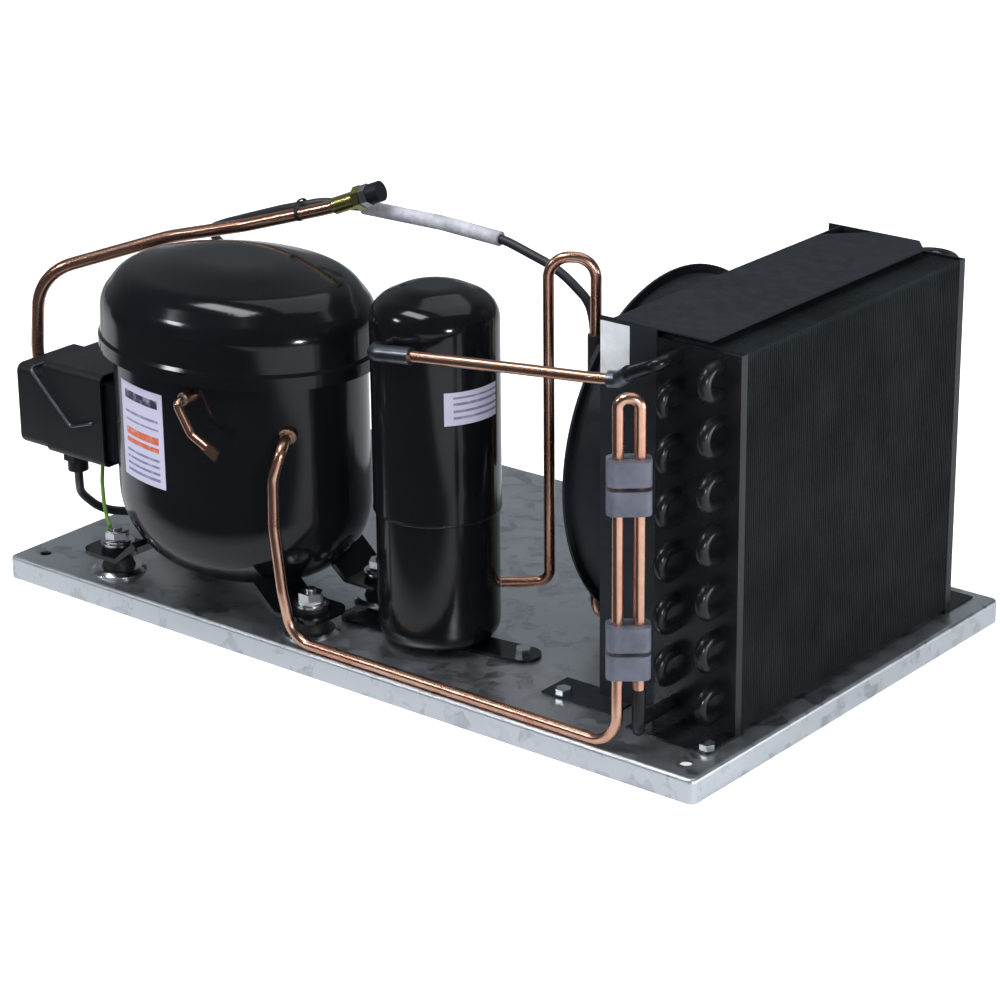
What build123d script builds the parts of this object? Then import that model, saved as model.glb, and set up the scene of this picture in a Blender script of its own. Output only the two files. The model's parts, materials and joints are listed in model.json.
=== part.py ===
"""Refrigeration condensing unit: a hermetic compressor, liquid receiver, finned condenser
and fan on a folded steel base.

Millimetres. +X runs from the compressor to the condenser, +Y to the back, +Z up.
The origin is the centre of the base, on the plane that its flanges stand on.
"""

from build123d import *
import math
import os

os.makedirs("parts", exist_ok=True)

# ---- driving dimensions --------------------------------------------------------------------------

BASE_LENGTH = 650.0
BASE_WIDTH = 390.0
BASE_HEIGHT = 18.0
SHEET = 1.5
TOP = BASE_HEIGHT  # upper face of the base plate
MOUNT_X = 610.0  # spacing of the four base holes
MOUNT_Y = 350.0
MOUNT_HOLE_RADIUS = 4.5

COMPRESSOR_X = -137.0
COMPRESSOR_Y = -125.0
OVAL = 0.78  # width of the shell over its length
SHELL_RADIUS = 104.0  # half the shell's length
SHELL_WALL = 3.0
SHELL_BOTTOM = TOP + 20.0
SEAM = TOP + 196.0
CAP_TOP = TOP + 258.0
FOOT_X = 99.0
FOOT_Y = 39.0
FOOT_LEVEL = TOP + 16.0

RECEIVER_X = 41.0
RECEIVER_Y = -113.0
RECEIVER_RADIUS = 46.0
RECEIVER_BOTTOM = TOP + 2.5
RECEIVER_SEAM = TOP + 103.0
RECEIVER_TOP = TOP + 267.0

TUBE_RADIUS = 4.0  # copper lines
SUCTION_RADIUS = 5.0
COIL_RADIUS = 4.76  # 3/8 inch condenser tube

FACE_X = 309.3  # outer face of the fins
CORE_DEPTH = 68.0
ROW_PITCH = 34.0
LEVEL_PITCH = 19.05
LEVELS = 14
CORE_FRONT = -124.8
CORE_BACK = 150.8
CORE_BOTTOM = TOP + 4.0
CORE_HEIGHT = LEVELS * LEVEL_PITCH
FIN_COUNT = 40
FIN_THICKNESS = 0.6
OUTER_ROW = FACE_X - CORE_DEPTH / 2 + ROW_PITCH / 2
INNER_ROW = OUTER_ROW - ROW_PITCH
BEND_REACH = 6.0  # straight tube between an end plate and a bend

SHROUD_X = 205.0  # face of the panel that carries the ring
SHROUD_TOP = TOP + 277.0
FAN_Y = 15.0
FAN_Z = TOP + 138.0
RING_RADIUS = 126.0
RING_X = 155.0
BLADE_RADIUS = 115.0
BLADE_COUNT = 5
MOTOR_RADIUS = 41.0
MOTOR_X = 96.0
MOTOR_LENGTH = 44.0


# ---- helpers -------------------------------------------------------------------------------------


def finish(part, name, place=(0, 0, 0)):
    """Labels a finished piece, puts it in its place and writes it."""
    piece = part.moved(Location(place))
    piece.label = name
    export_step(piece, f"parts/{name}.step")
    return piece


def corner_radii(points, largest):
    """A bend radius for each corner: as large as its two runs allow, up to largest."""
    radii = []
    for before, here, after in zip(points, points[1:], points[2:]):
        run_in = Vector(here) - Vector(before)
        run_out = Vector(after) - Vector(here)
        half_turn = math.radians(run_in.get_angle(run_out)) / 2
        shorter = min(run_in.length, run_out.length)
        radii.append(min(largest, 0.45 * shorter / math.tan(half_turn)))
    return radii


def tube(points, radius, largest_bend):
    """A round bar swept along straight runs joined by tangent arcs."""
    with BuildPart() as bar:
        with BuildLine() as path:
            FilletPolyline(*points, radius=corner_radii(points, largest_bend))
        start = path.line @ 0
        with BuildSketch(Plane(origin=start, z_dir=path.line % 0)):
            Circle(radius)
        sweep(path=path.line)
    return bar.part


def rod(start, end, radius):
    """A straight round bar between two points."""
    axis = Vector(end) - Vector(start)
    with BuildPart() as bar:
        with BuildSketch(Plane(origin=start, z_dir=axis)):
            Circle(radius)
        extrude(amount=axis.length)
    return bar.part


def check_tube(name, part, radius, points, largest_bend):
    """Prints the bend radii and how the volume compares with section times length."""
    with BuildLine() as path:
        FilletPolyline(*points, radius=corner_radii(points, largest_bend))
    length = sum(edge.length for edge in path.edges())
    share = part.volume / (math.pi * radius**2 * length)
    radii = [round(r, 1) for r in corner_radii(points, largest_bend)]
    print(name, "length", round(length), "volume share", round(share, 4), "radii", radii)


# ---- base ----------------------------------------------------------------------------------------

BOLT_SPOTS = [(305.4, -151.6), (250.0, -146.0), (175.0, -140.0)]
STRAP_BOLTS = [(RECEIVER_X - 70, RECEIVER_Y - 9), (RECEIVER_X + 70, RECEIVER_Y + 9)]
FEET = [
    (COMPRESSOR_X + side * FOOT_X, COMPRESSOR_Y + end * FOOT_Y)
    for side in (-1, 1)
    for end in (-1, 1)
]

with BuildPart() as base_plate:
    with BuildSketch():
        RectangleRounded(BASE_LENGTH, BASE_WIDTH, 5)
    extrude(amount=BASE_HEIGHT)
    fillet(base_plate.faces().sort_by(Axis.Z)[-1].edges(), 3)
    with BuildSketch():
        RectangleRounded(BASE_LENGTH - 2 * SHEET, BASE_WIDTH - 2 * SHEET, 3.5)
    extrude(amount=BASE_HEIGHT - SHEET, mode=Mode.SUBTRACT)
    with BuildSketch(Plane.XY.offset(BASE_HEIGHT - SHEET)):
        with GridLocations(MOUNT_X, MOUNT_Y, 2, 2):
            Circle(MOUNT_HOLE_RADIUS)
        with Locations(*FEET):
            Circle(4.2)
        with Locations(*STRAP_BOLTS, *BOLT_SPOTS):
            Circle(3.1)
    extrude(amount=SHEET, mode=Mode.SUBTRACT)
finish(base_plate.part, "base_plate")

# ---- compressor shell ----------------------------------------------------------------------------
# Each shell is turned about its axis and then narrowed across Y into an oval.

COMPRESSOR = (COMPRESSOR_X, COMPRESSOR_Y, 0)
BOWL_BEND = 62.0

with BuildPart() as compressor_lower_shell:
    with BuildSketch(Plane.XZ):
        with BuildLine():
            outer = FilletPolyline(
                (0, SHELL_BOTTOM),
                (SHELL_RADIUS, SHELL_BOTTOM),
                (SHELL_RADIUS, SEAM),
                radius=BOWL_BEND,
            )
            inner = FilletPolyline(
                (0, SHELL_BOTTOM + SHELL_WALL),
                (SHELL_RADIUS - SHELL_WALL, SHELL_BOTTOM + SHELL_WALL),
                (SHELL_RADIUS - SHELL_WALL, SEAM),
                radius=BOWL_BEND - SHELL_WALL,
            )
            Line(outer @ 1, inner @ 1)
            Line(outer @ 0, inner @ 0)
        make_face()
    revolve(axis=Axis.Z)
    scale(by=(1, OVAL, 1))
finish(compressor_lower_shell.part, "compressor_lower_shell", COMPRESSOR)

with BuildPart() as compressor_upper_shell:
    with BuildSketch(Plane.XZ):
        with BuildLine():
            crown = FilletPolyline(
                (0, CAP_TOP),
                (46, CAP_TOP),
                (94, CAP_TOP - 11),
                (112, CAP_TOP - 32),
                (113, SEAM + 4),
                radius=[150, 30, 24],
            )
            under = FilletPolyline(
                (0, CAP_TOP - SHELL_WALL),
                (45.7, CAP_TOP - SHELL_WALL),
                (92.2, CAP_TOP - 13.7),
                (109, CAP_TOP - 33.2),
                (109.8, SEAM + 1),
                radius=[147, 27, 21],
            )
            Line(crown @ 0, under @ 0)
            Polyline(
                crown @ 1,
                (115, SEAM + 1.5),
                (115, SEAM - 8),
                (SHELL_RADIUS + 0.1, SEAM - 8),
                (SHELL_RADIUS + 0.1, SEAM + 1),
                under @ 1,
            )
        make_face()
    revolve(axis=Axis.Z)
    scale(by=(1, OVAL, 1))
finish(compressor_upper_shell.part, "compressor_upper_shell", COMPRESSOR)

# ---- compressor motor and crank ------------------------------------------------------------------

STATOR_RADIUS = 66.0
STATOR_BOTTOM = SHELL_BOTTOM + 26.0
STATOR_HEIGHT = 52.0
ROTOR_RADIUS = 34.0
SHAFT_RADIUS = 9.0
BLOCK_BOTTOM = STATOR_BOTTOM + STATOR_HEIGHT + 13.0
BEARING_HEIGHT = 22.0
THROW = 10.0
PISTON_RADIUS = 15.0
CRANK_LEVEL = BLOCK_BOTTOM + BEARING_HEIGHT + 1.0
CYLINDER_LEVEL = CRANK_LEVEL + 17.0

with BuildPart() as motor_stator:
    with BuildSketch(Plane.XY.offset(STATOR_BOTTOM)):
        RegularPolygon(STATOR_RADIUS, 8)
        Circle(ROTOR_RADIUS + 0.6, mode=Mode.SUBTRACT)
    extrude(amount=STATOR_HEIGHT)
    for level in (STATOR_BOTTOM - 10, STATOR_BOTTOM + STATOR_HEIGHT):
        with BuildSketch(Plane.XY.offset(level)):
            Circle(54)
            Circle(40, mode=Mode.SUBTRACT)
        extrude(amount=10)
finish(motor_stator.part, "motor_stator", COMPRESSOR)

with BuildPart() as motor_rotor:
    with BuildSketch(Plane.XY.offset(STATOR_BOTTOM)):
        Circle(ROTOR_RADIUS)
        Circle(SHAFT_RADIUS, mode=Mode.SUBTRACT)
    extrude(amount=STATOR_HEIGHT)
finish(motor_rotor.part, "motor_rotor", COMPRESSOR)

with BuildPart() as crankshaft:
    with BuildSketch(Plane.XY.offset(STATOR_BOTTOM - 6)):
        Circle(SHAFT_RADIUS)
    extrude(amount=CRANK_LEVEL - STATOR_BOTTOM + 6)
    with BuildSketch(Plane.XY.offset(CRANK_LEVEL)):
        SlotCenterToCenter(26, 26)
    extrude(amount=7)
    with BuildSketch(Plane.XY.offset(CRANK_LEVEL + 7)):
        with Locations((THROW, 0)):
            Circle(7)
    extrude(amount=20)
finish(crankshaft.part, "crankshaft", COMPRESSOR)

with BuildPart() as cylinder_block:
    with BuildSketch(Plane.XY.offset(BLOCK_BOTTOM)):
        Circle(24)
        Rectangle(26, 92)
        with Locations((-44, 0)):
            Rectangle(52, 44)
    extrude(amount=BEARING_HEIGHT)
    with BuildSketch(Plane.XY.offset(BLOCK_BOTTOM + BEARING_HEIGHT)):
        with Locations((-52, 0)):
            Rectangle(36, 44)
    extrude(amount=40)
    with BuildSketch(Plane.XY.offset(BLOCK_BOTTOM)):
        Circle(SHAFT_RADIUS + 0.05)
    extrude(amount=BEARING_HEIGHT, mode=Mode.SUBTRACT)
    with BuildSketch(Plane.YZ.offset(-66)):
        with Locations((0, CYLINDER_LEVEL)):
            Circle(PISTON_RADIUS + 0.05)
    extrude(amount=40, mode=Mode.SUBTRACT)
finish(cylinder_block.part, "cylinder_block", COMPRESSOR)

with BuildPart() as piston:
    with BuildSketch(Plane.YZ.offset(-60)):
        with Locations((0, CYLINDER_LEVEL)):
            Circle(PISTON_RADIUS)
    extrude(amount=24)
finish(piston.part, "piston", COMPRESSOR)

# ---- compressor feet -----------------------------------------------------------------------------


def four_feet(part):
    """Copies of a piece that was made on the Z axis, one at each foot of the shell."""
    with BuildPart() as group:
        with GridLocations(2 * FOOT_X, 2 * FOOT_Y, 2, 2):
            add(part)
    return group.part


with BuildPart() as right_foot:
    with BuildSketch(Plane.XZ.offset(-FOOT_Y - 21)):
        Polygon(
            (120, FOOT_LEVEL),
            (120, FOOT_LEVEL + 3),
            (82, FOOT_LEVEL + 3),
            (62, FOOT_LEVEL + 21),
            (58, FOOT_LEVEL + 18),
            (80.5, FOOT_LEVEL),
            align=None,
        )
    extrude(amount=42)
    with BuildSketch(Plane.XY.offset(FOOT_LEVEL)):
        with Locations((FOOT_X, FOOT_Y)):
            Circle(9.5)
    extrude(amount=3, mode=Mode.SUBTRACT)
    fillet(right_foot.edges().filter_by(Axis.Z).group_by(Axis.X)[-1], 12)
with BuildPart() as compressor_feet:
    add(right_foot.part)
    mirror(about=Plane.YZ)
    mirror(about=Plane.XZ)
finish(compressor_feet.part, "compressor_feet", COMPRESSOR)

with BuildPart() as grommet:
    with BuildSketch(Plane.XZ):
        with BuildLine():
            Polyline(
                (6.1, TOP + 4),
                (13, TOP + 4),
                (11.5, TOP + 8),
                (11, FOOT_LEVEL),
                (9.4, FOOT_LEVEL),
                (9.4, FOOT_LEVEL + 3),
                (12, FOOT_LEVEL + 3),
                (11.5, FOOT_LEVEL + 6),
                (6.1, FOOT_LEVEL + 6),
                close=True,
            )
        make_face()
    revolve(axis=Axis.Z)
finish(four_feet(grommet.part), "foot_grommets", COMPRESSOR)

with BuildPart() as cup_washer:
    with BuildSketch(Plane.XZ):
        with BuildLine():
            FilletPolyline(
                (4.2, TOP),
                (21, TOP),
                (21, TOP + 1.4),
                (17.5, TOP + 4),
                (4.2, TOP + 4),
                close=True,
                radius=0.6,
            )
        make_face()
    revolve(axis=Axis.Z)
finish(four_feet(cup_washer.part), "foot_washers", COMPRESSOR)

with BuildPart() as sleeve:
    with BuildSketch(Plane.XY.offset(TOP + 4)):
        Circle(6)
        Circle(4.2, mode=Mode.SUBTRACT)
    extrude(amount=18.4)
    with BuildSketch(Plane.XY.offset(TOP + 22.4)):
        Circle(13)
        Circle(4.2, mode=Mode.SUBTRACT)
    extrude(amount=1.8)
finish(four_feet(sleeve.part), "foot_sleeves", COMPRESSOR)

with BuildPart() as stud:
    with BuildSketch(Plane.XY.offset(TOP - SHEET - 5)):
        RegularPolygon(6.5, 6, major_radius=False)
    extrude(amount=5)
    with BuildSketch(Plane.XY.offset(TOP - SHEET)):
        Circle(4)
    extrude(amount=SHEET + 35)
finish(four_feet(stud.part), "foot_studs", COMPRESSOR)

with BuildPart() as flange_nut:
    with BuildSketch(Plane.XY.offset(TOP + 24.2)):
        Circle(11)
        Circle(4.1, mode=Mode.SUBTRACT)
    extrude(amount=1.6)
    with BuildSketch(Plane.XY.offset(TOP + 25.8)):
        RegularPolygon(8, 6, major_radius=False)
        Circle(4.1, mode=Mode.SUBTRACT)
    extrude(amount=6.4)
finish(four_feet(flange_nut.part), "foot_nuts", COMPRESSOR)

# ---- compressor electrics ------------------------------------------------------------------------
# Positions here are measured from the compressor's own axis.

BOX_BOTTOM = TOP + 78.0
BOX_TOP = TOP + 152.0
BOX_JOIN = -172.0
BOX_INNER = -112.0
COVER_END = -208.0
BOX_HALF = 35.0
COVER_WALL = 2.0
COVER_LEVEL = BOX_BOTTOM + 32.5
PIVOT_X = -122.0
PIVOT_Z = TOP + 113.0
WIRE = 1.2
GLAND = (-160.0, -18.0)

with BuildPart() as terminal_fence:
    with BuildSketch(Plane.YZ.offset(BOX_INNER - 1.5)):
        with Locations((0, TOP + 115)):
            Rectangle(64, 62)
            Rectangle(50, 44, mode=Mode.SUBTRACT)
    extrude(amount=14)
finish(terminal_fence.part, "terminal_fence", COMPRESSOR)

with BuildPart() as hermetic_terminal:
    with BuildSketch(Plane.YZ.offset(-109)):
        with Locations((0, TOP + 115)):
            Circle(15)
    extrude(amount=9)
    with BuildSketch(Plane.YZ.offset(-121)):
        with Locations((0, TOP + 115)):
            with PolarLocations(6.5, 3, 90):
                Circle(1.6)
    extrude(amount=12)
finish(hermetic_terminal.part, "hermetic_terminal", COMPRESSOR)

with BuildPart() as start_relay:
    with BuildSketch(Plane.YZ.offset(-147)):
        with Locations((0, TOP + 118)):
            RectangleRounded(36, 34, 3)
    extrude(amount=27)
    with BuildSketch(Plane.YZ.offset(-121)):
        with Locations((0, TOP + 115)):
            with PolarLocations(6.5, 3, 90):
                Circle(1.65)
    extrude(amount=1, mode=Mode.SUBTRACT)
finish(start_relay.part, "start_relay", COMPRESSOR)

with BuildPart() as overload_protector:
    with BuildSketch(Plane.YZ.offset(-166)):
        with Locations((0, TOP + 120)):
            Circle(16)
    extrude(amount=19)
    with BuildSketch(Plane.YZ.offset(-170)):
        with Locations((0, TOP + 120)):
            Rectangle(8, 18)
    extrude(amount=4)
finish(overload_protector.part, "overload_protector", COMPRESSOR)

with BuildPart() as terminal_box:
    with BuildSketch(Plane.YZ.offset(BOX_JOIN)):
        with Locations((0, (BOX_BOTTOM + BOX_TOP) / 2)):
            RectangleRounded(2 * BOX_HALF + 2, BOX_TOP - BOX_BOTTOM, 6)
            RectangleRounded(2 * BOX_HALF - 2, BOX_TOP - BOX_BOTTOM - 4, 4, mode=Mode.SUBTRACT)
    extrude(amount=BOX_INNER - BOX_JOIN)
    with BuildSketch(Plane.XZ.offset(BOX_HALF + 4)):
        with Locations((PIVOT_X, PIVOT_Z)):
            Circle(WIRE + 0.08)
    extrude(amount=-2 * BOX_HALF - 8, mode=Mode.SUBTRACT)
    with BuildSketch(Plane.XY.offset(BOX_BOTTOM - 1)):
        with Locations(GLAND):
            Circle(8.05)
    extrude(amount=4, mode=Mode.SUBTRACT)
finish(terminal_box.part, "terminal_box", COMPRESSOR)

with BuildPart() as terminal_cover:
    with BuildSketch(Plane.YZ.offset(COVER_END)):
        with Locations((0, COVER_LEVEL)):
            RectangleRounded(2 * BOX_HALF - 4, 65, 7)
    extrude(amount=BOX_JOIN - COVER_END)
    fillet(terminal_cover.faces().sort_by(Axis.X)[0].edges(), 3)
    with BuildSketch(Plane.YZ.offset(COVER_END + COVER_WALL)):
        with Locations((0, COVER_LEVEL)):
            RectangleRounded(2 * BOX_HALF - 8, 61, 5)
    extrude(amount=BOX_JOIN - COVER_END, mode=Mode.SUBTRACT)
    with BuildSketch(Plane.YZ.offset(BOX_JOIN - 2)):
        with Locations((0, (BOX_BOTTOM + BOX_TOP) / 2)):
            RectangleRounded(2 * BOX_HALF + 2, BOX_TOP - BOX_BOTTOM, 6)
        with Locations((0, COVER_LEVEL)):
            RectangleRounded(2 * BOX_HALF - 8, 61, 5, mode=Mode.SUBTRACT)
    extrude(amount=2)
finish(terminal_cover.part, "terminal_cover", COMPRESSOR)

BAIL_SIDE = BOX_HALF + 3.2
BAIL_TOP = COVER_LEVEL + 32.5 + WIRE + 0.3
bail_route = [
    (PIVOT_X, -BOX_HALF + 0.5, PIVOT_Z),
    (PIVOT_X, -BAIL_SIDE, PIVOT_Z),
    (-144, -BAIL_SIDE, PIVOT_Z - 7),
    (-186, -BAIL_SIDE, BAIL_TOP),
    (-186, BAIL_SIDE, BAIL_TOP),
    (-144, BAIL_SIDE, PIVOT_Z - 7),
    (PIVOT_X, BAIL_SIDE, PIVOT_Z),
    (PIVOT_X, BOX_HALF - 0.5, PIVOT_Z),
]
finish(tube(bail_route, WIRE, 5), "cover_bail", COMPRESSOR)

with BuildPart() as cable_gland:
    with BuildSketch(Plane.XY.offset(BOX_BOTTOM - 7)):
        with Locations(GLAND):
            RegularPolygon(11, 6)
    extrude(amount=7)
    with BuildSketch(Plane.XY.offset(BOX_BOTTOM - 16)):
        with Locations(GLAND):
            Circle(8)
    extrude(amount=22)
    with BuildSketch(Plane.XY.offset(BOX_BOTTOM - 16)):
        with Locations(GLAND):
            Circle(3.5)
    extrude(amount=22, mode=Mode.SUBTRACT)
finish(cable_gland.part, "cable_gland", COMPRESSOR)

EARTH_RADIUS = 1.5
earth_route = [
    (-128, -22, BOX_BOTTOM),
    (-126, -26, BOX_BOTTOM - 16),
    (-120, -31, BOX_BOTTOM - 31),
    (-113, -35, TOP + 36.4),
    (-107, -38, TOP + 33.6),
]
finish(tube(earth_route, EARTH_RADIUS, 20), "earth_wire", COMPRESSOR)

with BuildPart() as earth_terminal:
    with BuildSketch(Plane.XY.offset(TOP + 32.2)):
        with Locations((-FOOT_X, -FOOT_Y)):
            Circle(8)
            Circle(4.1, mode=Mode.SUBTRACT)
    extrude(amount=1.2)
finish(earth_terminal.part, "earth_terminal", COMPRESSOR)

with BuildPart() as compressor_label:
    with BuildSketch(Plane.XY.offset(TOP + 100)):
        Ellipse(SHELL_RADIUS + 0.45, (SHELL_RADIUS + 0.45) * OVAL)
        Ellipse(SHELL_RADIUS + 0.05, (SHELL_RADIUS + 0.05) * OVAL, mode=Mode.SUBTRACT)
    extrude(amount=73)
    with BuildSketch(Plane.XY.offset(TOP + 100)):
        with Locations((-27, -60)):
            Rectangle(52, 80)
    extrude(amount=73, mode=Mode.INTERSECT)
finish(compressor_label.part, "compressor_label", COMPRESSOR)

STUB_POINTS = {
    "discharge": ((81.9, -33.8, TOP + 154.3), (88, -46, TOP + 151)),
    "suction": ((-64.7, 60.9, TOP + 134.5), (-70, 73, TOP + 130)),
    "process": ((26, -76, TOP + 177.5), (26, -87, TOP + 177.5)),
}
STUB_RADII = {"discharge": 6.5, "suction": 7, "process": 5}
with BuildPart() as shell_stubs:
    for name, ends in STUB_POINTS.items():
        add(rod(*ends, STUB_RADII[name]))
finish(shell_stubs.part, "shell_stubs", COMPRESSOR)

process_route = [
    (26, -87, TOP + 177.5),
    (27, -94, TOP + 176),
    (38, -92, TOP + 155),
    (52, -91, TOP + 148),
]
with BuildPart() as process_tube:
    add(tube(process_route, 3.2, 8))
    pinch = Plane(origin=(48, -91.2, TOP + 150), x_dir=(0.447, 0, 0.894), z_dir=(0.894, 0, -0.447))
    with BuildSketch(pinch):
        Rectangle(9, 2.4)
    extrude(amount=15)
finish(process_tube.part, "process_tube", COMPRESSOR)

# ---- receiver ------------------------------------------------------------------------------------

RECEIVER = (RECEIVER_X, RECEIVER_Y, 0)

with BuildPart() as receiver_lower_shell:
    with BuildSketch(Plane.XZ):
        with BuildLine():
            outer = FilletPolyline(
                (0, RECEIVER_BOTTOM),
                (RECEIVER_RADIUS - 1.6, RECEIVER_BOTTOM),
                (RECEIVER_RADIUS - 1.6, RECEIVER_SEAM + 8),
                radius=14,
            )
            inner = FilletPolyline(
                (0, RECEIVER_BOTTOM + 2),
                (RECEIVER_RADIUS - 3.6, RECEIVER_BOTTOM + 2),
                (RECEIVER_RADIUS - 3.6, RECEIVER_SEAM + 8),
                radius=12,
            )
            Line(outer @ 1, inner @ 1)
            Line(outer @ 0, inner @ 0)
        make_face()
    revolve(axis=Axis.Z)
finish(receiver_lower_shell.part, "receiver_lower_shell", RECEIVER)

with BuildPart() as receiver_upper_shell:
    with BuildSketch(Plane.XZ):
        with BuildLine():
            outer = FilletPolyline(
                (RECEIVER_RADIUS, RECEIVER_SEAM),
                (RECEIVER_RADIUS, RECEIVER_TOP - 12),
                (20, RECEIVER_TOP),
                (0, RECEIVER_TOP),
                radius=[20, 30],
            )
            inner = FilletPolyline(
                (RECEIVER_RADIUS - 1.55, RECEIVER_SEAM),
                (RECEIVER_RADIUS - 1.55, RECEIVER_TOP - 13),
                (19.6, RECEIVER_TOP - 2),
                (0, RECEIVER_TOP - 2),
                radius=[18, 28],
            )
            Line(outer @ 1, inner @ 1)
            Line(outer @ 0, inner @ 0)
        make_face()
    revolve(axis=Axis.Z)
finish(receiver_upper_shell.part, "receiver_upper_shell", RECEIVER)

STRAP_ANGLE = math.degrees(math.atan2(9, 70))
with BuildPart() as receiver_foot:
    with BuildSketch(Plane.XY.offset(TOP)):
        SlotCenterToCenter(math.hypot(140, 18), 26, rotation=STRAP_ANGLE)
        with Locations((-70, -9), (70, 9)):
            Circle(3.1, mode=Mode.SUBTRACT)
    extrude(amount=2.5)
finish(receiver_foot.part, "receiver_foot", RECEIVER)

with BuildPart() as receiver_label:
    with BuildSketch(Plane.XY.offset(TOP + 178)):
        with BuildLine():
            radius = RECEIVER_RADIUS + 0.05
            inner = CenterArc((0, 0), radius, -43, 57)
            outer = CenterArc((0, 0), radius + 0.4, -43, 57)
            Line(inner @ 0, outer @ 0)
            Line(inner @ 1, outer @ 1)
        make_face()
    extrude(amount=24)
finish(receiver_label.part, "receiver_label", RECEIVER)

# ---- copper lines --------------------------------------------------------------------------------

RISER_X, RISER_Y = 259.0, -190.0
RETURN_X, RETURN_Y = 270.0, -181.0
LOW = TOP + TUBE_RADIUS + 0.5
RISER_TOP = TOP + 250.0
COIL_IN_Z = CORE_BOTTOM + LEVEL_PITCH / 2
COIL_OUT_Z = COIL_IN_Z + (LEVELS - 1) * LEVEL_PITCH

discharge_route = [
    (-49, -171, TOP + 151),
    (-41.5, -186, TOP + 147),
    (-44, -193, TOP + 126),
    (-44, -194, TOP + 90),
    (-38, -194, TOP + 42),
    (-33, RISER_Y, LOW),
    (RISER_X, RISER_Y, LOW),
    (RISER_X, RISER_Y, RISER_TOP),
    (RETURN_X, RETURN_Y, RISER_TOP),
    (RETURN_X, RETURN_Y, TOP + 46),
]
discharge_line = tube(discharge_route, TUBE_RADIUS, 22)
check_tube("discharge_line", discharge_line, TUBE_RADIUS, discharge_route, 22)
finish(discharge_line, "discharge_line")


def clamp(level):
    """A moulded rubber block that holds the riser and the return side by side."""
    middle = ((RISER_X + RETURN_X) / 2, (RISER_Y + RETURN_Y) / 2)
    turn = math.degrees(math.atan2(RETURN_Y - RISER_Y, RETURN_X - RISER_X))
    with BuildPart() as block:
        for step in (0, 20):
            with BuildSketch(Plane.XY.offset(TOP + level + step)):
                with Locations(Location((*middle, 0), (0, 0, turn))):
                    RectangleRounded(30, 19, 6)
                    Rectangle(27, 1.2, mode=Mode.SUBTRACT)
                with Locations((RISER_X, RISER_Y), (RETURN_X, RETURN_Y)):
                    Circle(TUBE_RADIUS + 0.02, mode=Mode.SUBTRACT)
            extrude(amount=17)
    return block.part


with BuildPart() as riser_clamps:
    add(clamp(172))
    add(clamp(56))
finish(riser_clamps.part, "riser_clamps")

inlet_route = [
    (RETURN_X, RETURN_Y, TOP + 46),
    (RETURN_X, RETURN_Y, COIL_IN_Z),
    (INNER_ROW, -165, COIL_IN_Z),
    (INNER_ROW, CORE_FRONT - 1.5, COIL_IN_Z),
]
finish(tube(inlet_route, TUBE_RADIUS + 0.6, 13), "coil_inlet_stub")

ELBOW_IN = (232, -141.6, TOP + 248)
ELBOW_OUT = (214, -139.2, TOP + 239.9)
outlet_route = [
    (INNER_ROW, CORE_FRONT - 1.5, COIL_OUT_Z),
    (INNER_ROW, -146, COIL_OUT_Z),
    ELBOW_IN,
]
finish(tube(outlet_route, TUBE_RADIUS + 0.6, 16), "coil_outlet_stub")

receiver_line_route = [
    ELBOW_OUT,
    (196, -142, TOP + 238.6),
    (150, -151, TOP + 237),
    (100, -161, TOP + 235),
    (57, -169, TOP + 233),
    (35, -170, TOP + 230.5),
    (28.6, -157.5, TOP + 229),
]
receiver_line = tube(receiver_line_route, TUBE_RADIUS, 60)
check_tube("receiver_line", receiver_line, TUBE_RADIUS, receiver_line_route, 60)
finish(receiver_line, "receiver_inlet_line")

joint_route = [
    (66, -167.4, TOP + 233.6),
    (35, -170, TOP + 230.5),
    (30.9, -162, TOP + 229.6),
]
with BuildPart() as line_elbow:
    add(tube([ELBOW_IN, (222, -138.6, TOP + 241), ELBOW_OUT], 6.2, 9))
    add(tube(joint_route, 6.2, 10.5))
    add(tube(receiver_line_route, TUBE_RADIUS, 60), mode=Mode.SUBTRACT)
finish(line_elbow.part, "line_elbow")

LIQUID_X, LIQUID_Y = 103.0, -63.0
LEG_X, LEG_Y = 131.0, -45.0
LIQUID_TOP = TOP + 286.0
liquid_route = [
    (76, -85, TOP + 42),
    (88, -75, TOP + 42),
    (LIQUID_X, LIQUID_Y, TOP + 43),
    (LIQUID_X, LIQUID_Y, LIQUID_TOP),
    (LEG_X, LEG_Y, LIQUID_TOP),
    (LEG_X, LEG_Y, TOP + 14),
    (LEG_X, 152, TOP + 14),
]
liquid_line = tube(liquid_route, TUBE_RADIUS, 16.5)
check_tube("liquid_line", liquid_line, TUBE_RADIUS, liquid_route, 16.5)
finish(liquid_line, "liquid_line")

with BuildPart() as liquid_sleeve:
    with BuildSketch(Plane.XY.offset(TOP + 40)):
        with Locations((LEG_X, LEG_Y)):
            Circle(6)
            Circle(TUBE_RADIUS + 0.02, mode=Mode.SUBTRACT)
    extrude(amount=190)
finish(liquid_sleeve.part, "liquid_sleeve")

with BuildPart() as liquid_fitting:
    with BuildSketch(Plane.XZ.offset(-152)):
        with Locations((LEG_X, TOP + 14)):
            RegularPolygon(8, 6, major_radius=False)
    extrude(amount=-12)
    with BuildSketch(Plane.XZ.offset(-164)):
        with Locations((LEG_X, TOP + 14)):
            Circle(6.5)
    extrude(amount=-16)
finish(liquid_fitting.part, "liquid_fitting")

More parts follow.
